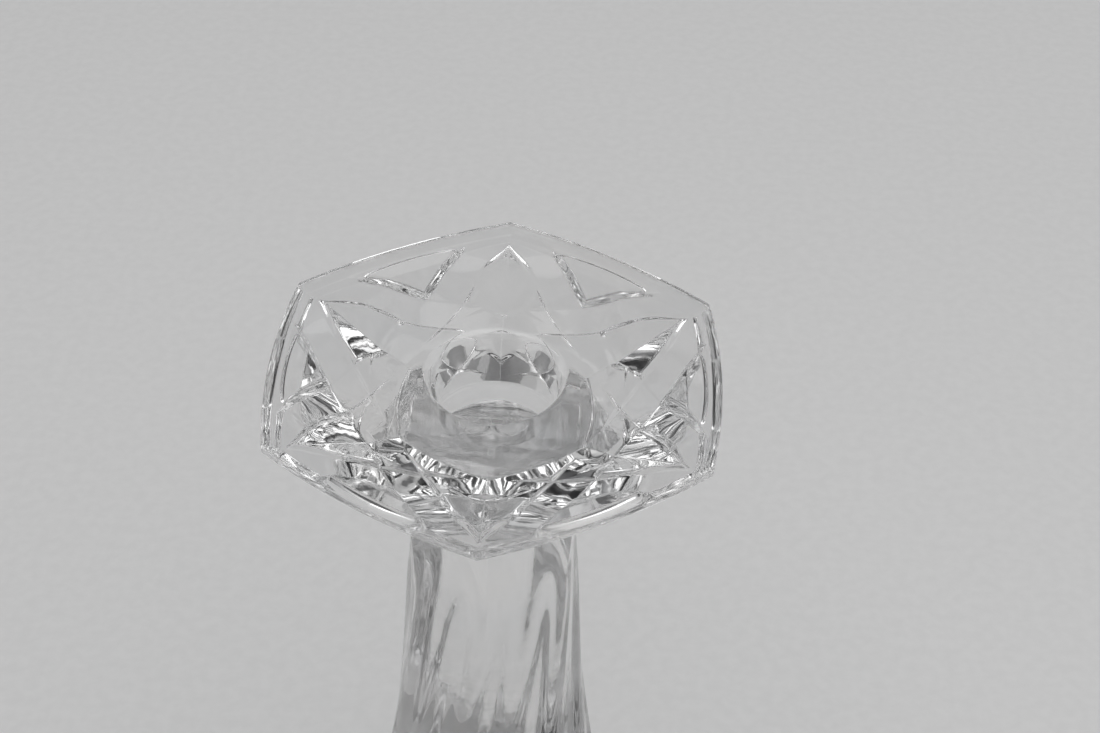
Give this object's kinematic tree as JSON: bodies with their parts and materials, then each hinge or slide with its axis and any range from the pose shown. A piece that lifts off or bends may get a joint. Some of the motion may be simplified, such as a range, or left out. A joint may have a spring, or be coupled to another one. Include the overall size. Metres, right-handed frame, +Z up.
{
  "type": "glass candlestick",
  "caption": "Clear pressed-glass candlestick: wide bowed hexagonal head with a candle socket and a star of bands underneath, twisted fluted stem and a hexagonal foot.",
  "frame": {"origin": "centre of the foot's underside, on the candlestick's axis", "axes": "+Z up along the axis from the foot to the head; a corner of the hexagonal head and foot points along -Y, and a flat side faces +X"},
  "size_m": [0.087, 0.096, 0.18],
  "materials": {
    "clear_glass": "polished"
  },
  "bodies": {
    "root": {"socket_head": "clear_glass", "neck_wafer": "clear_glass", "stem": "clear_glass", "foot": "clear_glass"}
  },
  "joints": []
}
